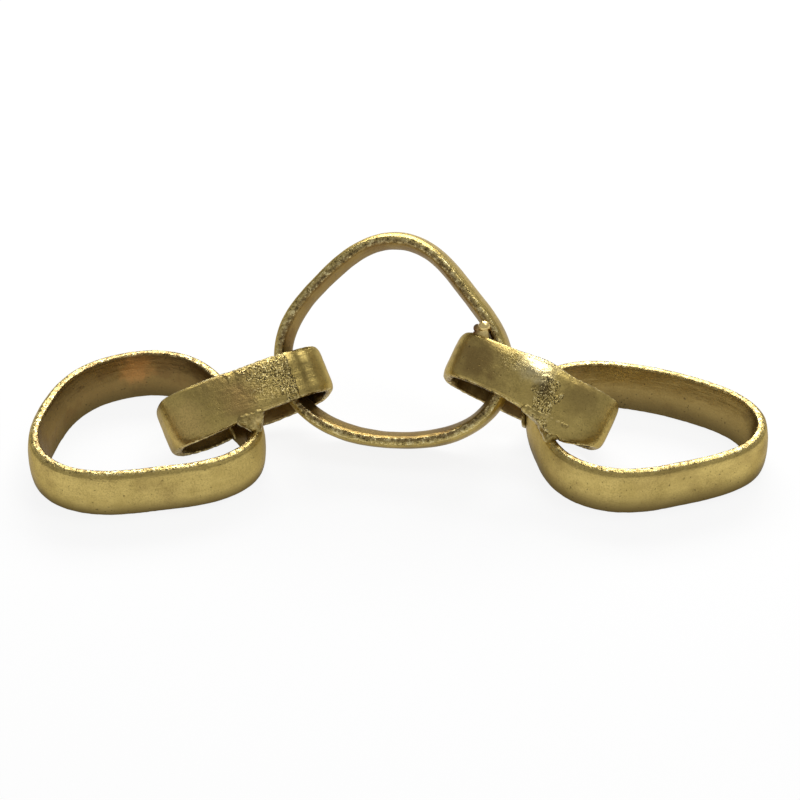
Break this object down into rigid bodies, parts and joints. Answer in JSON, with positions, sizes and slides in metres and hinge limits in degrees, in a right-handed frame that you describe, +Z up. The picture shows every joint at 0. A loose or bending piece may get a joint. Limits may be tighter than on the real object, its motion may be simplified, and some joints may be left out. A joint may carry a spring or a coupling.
{
  "type": "chain link sculpture",
  "caption": "Cast brass chain sculpture: rounded band rings joined by oval band links, with the middle ring standing and leaning back between the two that lie flat.",
  "frame": {"origin": "middle of the bounding box, on the floor that the sculpture rests on", "axes": "+X along the chain from the left ring to the right ring, +Y towards the back, +Z up"},
  "size_m": [0.4004, 0.1314, 0.109],
  "materials": {
    "cast_brass": "satin cast",
    "weld_brass": "rough"
  },
  "bodies": {
    "root": {"left_ring": "cast_brass", "centre_ring": "cast_brass", "right_ring": "cast_brass", "left_link": "cast_brass", "right_link": "cast_brass", "left_inner_weld": "weld_brass", "left_outer_weld": "weld_brass", "left_rim_weld": "weld_brass", "left_tack_weld": "weld_brass", "right_braze": "weld_brass", "right_inner_weld": "weld_brass", "right_outer_weld": "weld_brass", "right_rim_weld": "weld_brass"}
  },
  "joints": []
}
